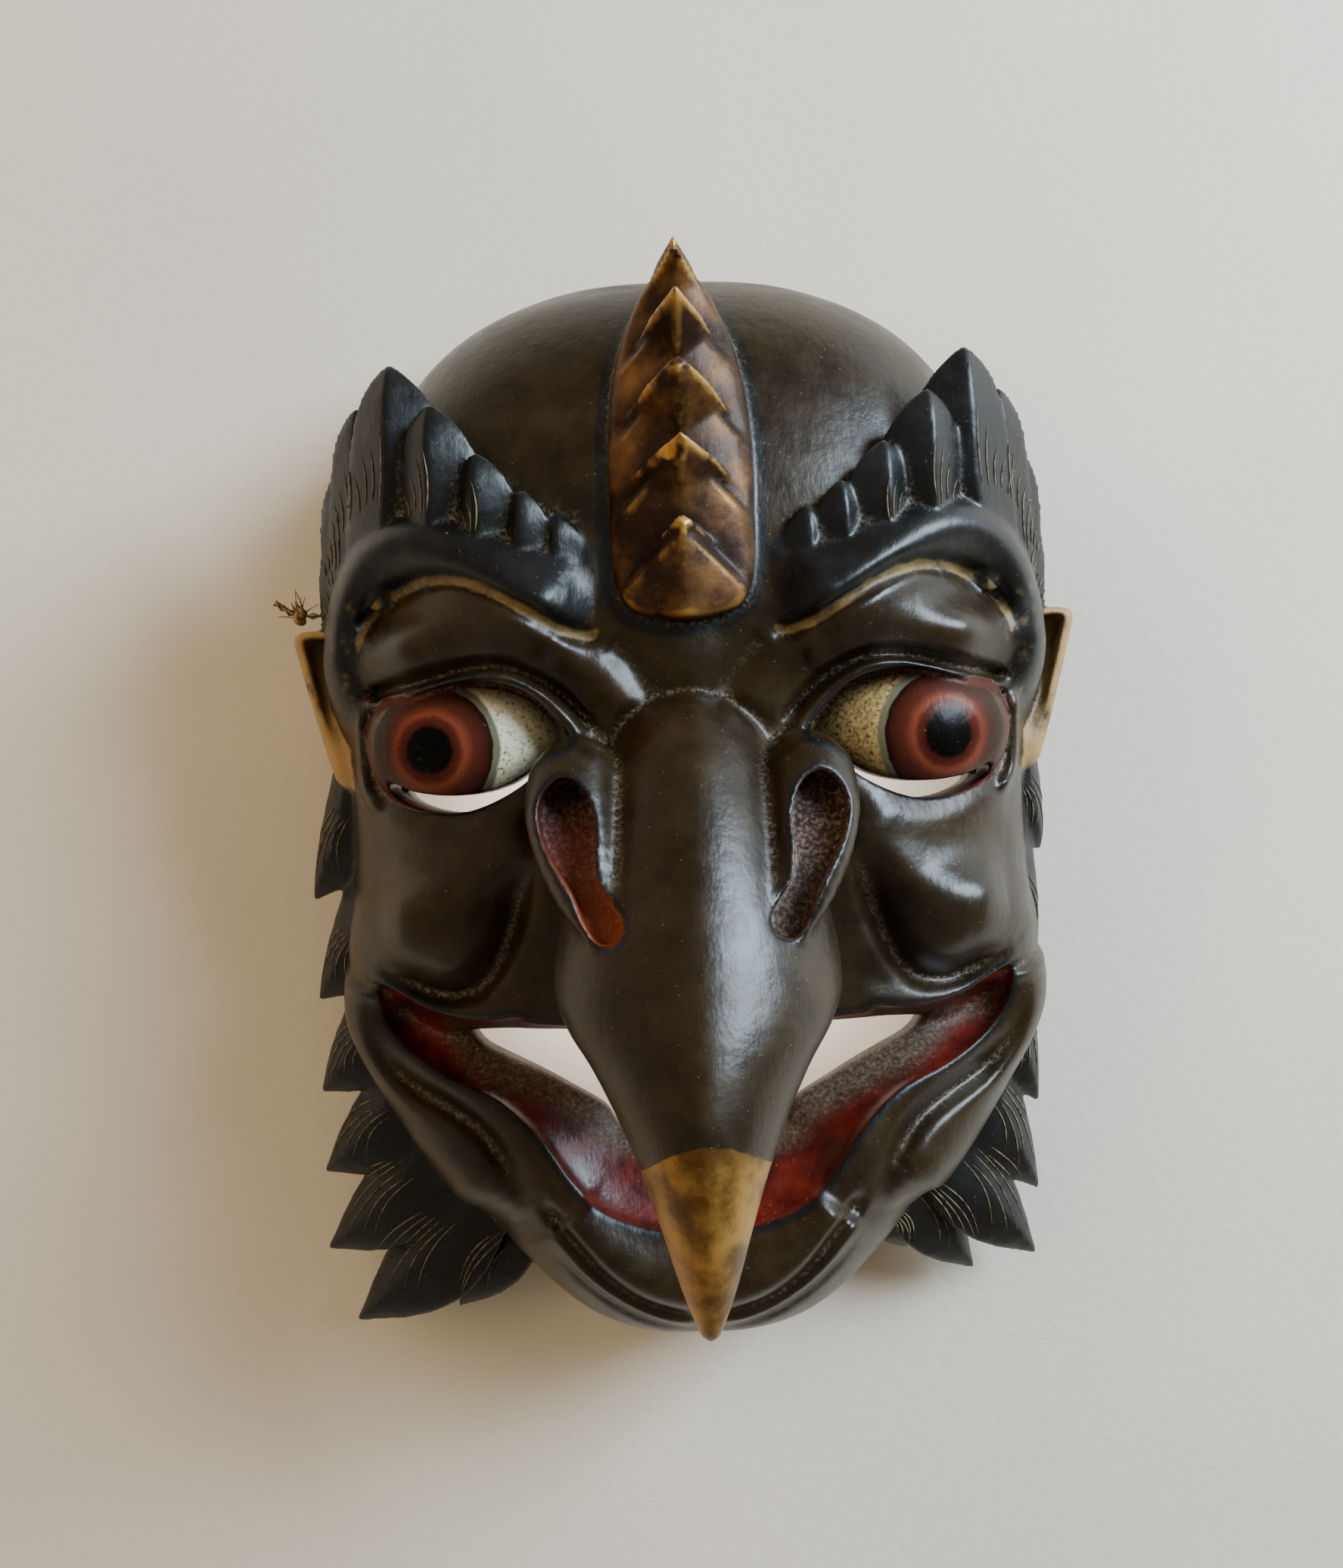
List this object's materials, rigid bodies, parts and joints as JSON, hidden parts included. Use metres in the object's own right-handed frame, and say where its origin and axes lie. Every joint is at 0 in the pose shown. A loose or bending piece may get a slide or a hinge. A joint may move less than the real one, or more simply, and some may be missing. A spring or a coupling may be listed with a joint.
{
  "type": "bird mask",
  "caption": "Carved and painted wooden dance mask of a mythical bird: hooked beak over an open grinning mouth, bulging eyes, feathered brows and a stepped crest",
  "frame": {"origin": "centre of the mask's outline on the floor, in the plane of its flat back rim", "axes": "+Z is the way the face looks, +Y runs up the face to the crown, +X to the right of someone facing the mask"},
  "size_m": [0.1508, 0.2004, 0.1066],
  "materials": {
    "painted_wood": "satin lacquer over dark olive-brown, black, red and worn gold paint",
    "plant_fibre": "dull dry twisted plant fibre"
  },
  "bodies": {
    "root": {"mask": "painted_wood", "cord": "plant_fibre"}
  },
  "joints": []
}
